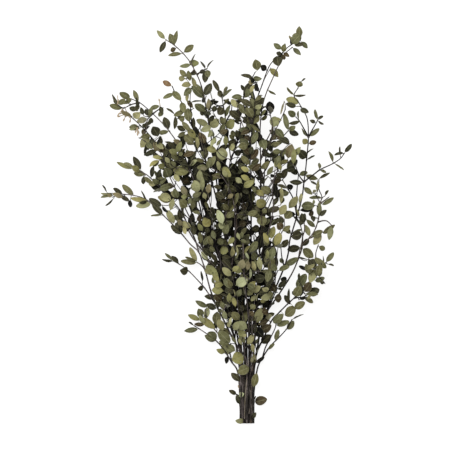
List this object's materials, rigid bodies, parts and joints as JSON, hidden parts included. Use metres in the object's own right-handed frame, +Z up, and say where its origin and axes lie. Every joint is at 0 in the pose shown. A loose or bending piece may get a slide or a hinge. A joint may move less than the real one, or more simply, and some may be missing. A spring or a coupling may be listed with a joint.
{
  "type": "bunch of dried eucalyptus",
  "caption": "Loose bunch of dried small-leaved eucalyptus stems lying down, bare cut ends together at one end and a spreading leafy crown at the other.",
  "frame": {"origin": "the middle of the bunch's length and width, on the surface that it lies on", "axes": "+Y along the bunch, from the cut ends to the tips; +Z up from the surface; +X across it, to the right seen from above with the tips away"},
  "size_m": [0.4133, 0.6454, 0.163],
  "materials": {
    "leaf": "matte",
    "stem": "matte"
  },
  "bodies": {
    "root": {"leafy_stem_left_lowest": "leaf", "leafy_stem_left_under": "leaf", "leafy_stem_middle_under": "leaf", "leafy_stem_right_middle": "leaf", "leafy_stem_right_lower": "leaf", "leafy_stem_right_lowest": "leaf", "leafy_stem_left_middle": "leaf", "leafy_stem_top_left": "leaf", "leafy_stem_top_middle": "leaf", "leafy_stem_right_inner": "leaf", "leafy_stem_right_tall": "leaf", "leafy_stem_left_upper": "leaf", "leafy_stem_upper_left": "leaf", "leafy_stem_top_right": "leaf", "leafy_stem_upper_right": "leaf", "leafy_stem_left_long": "leaf"}
  },
  "joints": []
}
